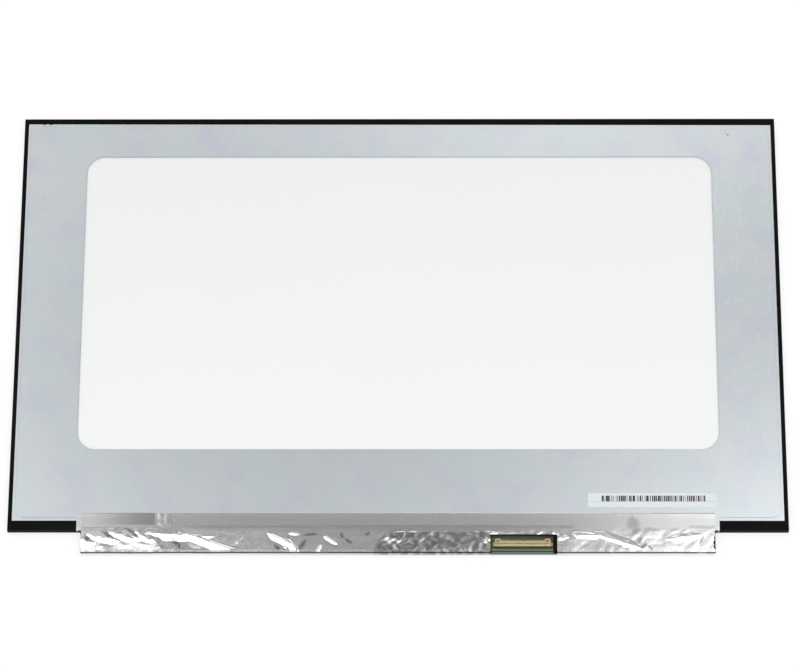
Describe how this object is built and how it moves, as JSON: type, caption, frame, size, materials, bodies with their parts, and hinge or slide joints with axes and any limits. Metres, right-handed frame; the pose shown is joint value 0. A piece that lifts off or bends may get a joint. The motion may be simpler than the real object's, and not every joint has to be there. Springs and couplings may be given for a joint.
{
  "type": "laptop screen panel",
  "caption": "Slim flat laptop display panel, screen down: satin metal chassis with a large window over a white sheet, black edge tape, and a foil-covered board with a signal socket.",
  "frame": {"origin": "middle of the footprint on the screen's face, which is the lowest face", "axes": "+X to the right and +Y to the panel's top edge, both seen from the back; +Z from the screen to the back"},
  "size_m": [0.3506, 0.2162, 0.0032],
  "materials": {
    "chassis_metal": "satin rolled sheet",
    "black_tape": "soft black polyester tape",
    "reflector_white": "matte white film",
    "cell_glass": "clear thin glass",
    "polarizer": "dark anti-glare film",
    "optical_sheet": "milky optical film",
    "light_guide": "clear acrylic",
    "frame_plastic": "white moulded plastic",
    "flex_film": "amber flexible circuit",
    "lamp_body": "white lamp body",
    "driver_silicon": "bare silicon",
    "board_mask": "green solder mask",
    "chip_case": "moulded black",
    "coil_case": "dark grey ferrite",
    "capacitor_body": "tan ceramic",
    "socket_metal": "gold-toned stamped sheet",
    "socket_plastic": "beige moulding",
    "contact_metal": "gold flash",
    "foil_metal": "crinkled foil",
    "label_paper": "plain label"
  },
  "bodies": {
    "root": {"front_polarizer": "polarizer", "colour_filter_glass": "cell_glass", "array_glass": "cell_glass", "rear_polarizer": "polarizer", "rim_tape": "black_tape", "mould_frame": "frame_plastic", "upper_prism_sheet": "optical_sheet", "lower_prism_sheet": "optical_sheet", "diffuser_sheet": "optical_sheet", "light_guide_plate": "light_guide", "reflector_sheet": "reflector_white", "light_bar_flex": "flex_film", "led_packages": "lamp_body", "rear_chassis": "chassis_metal", "driver_chips": "driver_silicon", "link_flexes": "flex_film", "driver_cover_tape": "black_tape", "circuit_board": "board_mask", "timing_controller": "chip_case", "power_chip": "chip_case", "memory_chip": "chip_case", "light_driver_chip": "chip_case", "power_inductors": "coil_case", "ceramic_capacitors": "capacitor_body", "chip_resistors": "chip_case", "socket_shell": "socket_metal", "socket_housing": "socket_plastic", "socket_contacts": "contact_metal", "insulating_film": "black_tape", "shield_foil": "foil_metal", "bar_label": "label_paper", "top_edge_tape": "black_tape", "left_edge_tape": "black_tape", "right_edge_tape": "black_tape", "left_corner_tape": "black_tape", "right_corner_tape": "black_tape"}
  },
  "joints": []
}
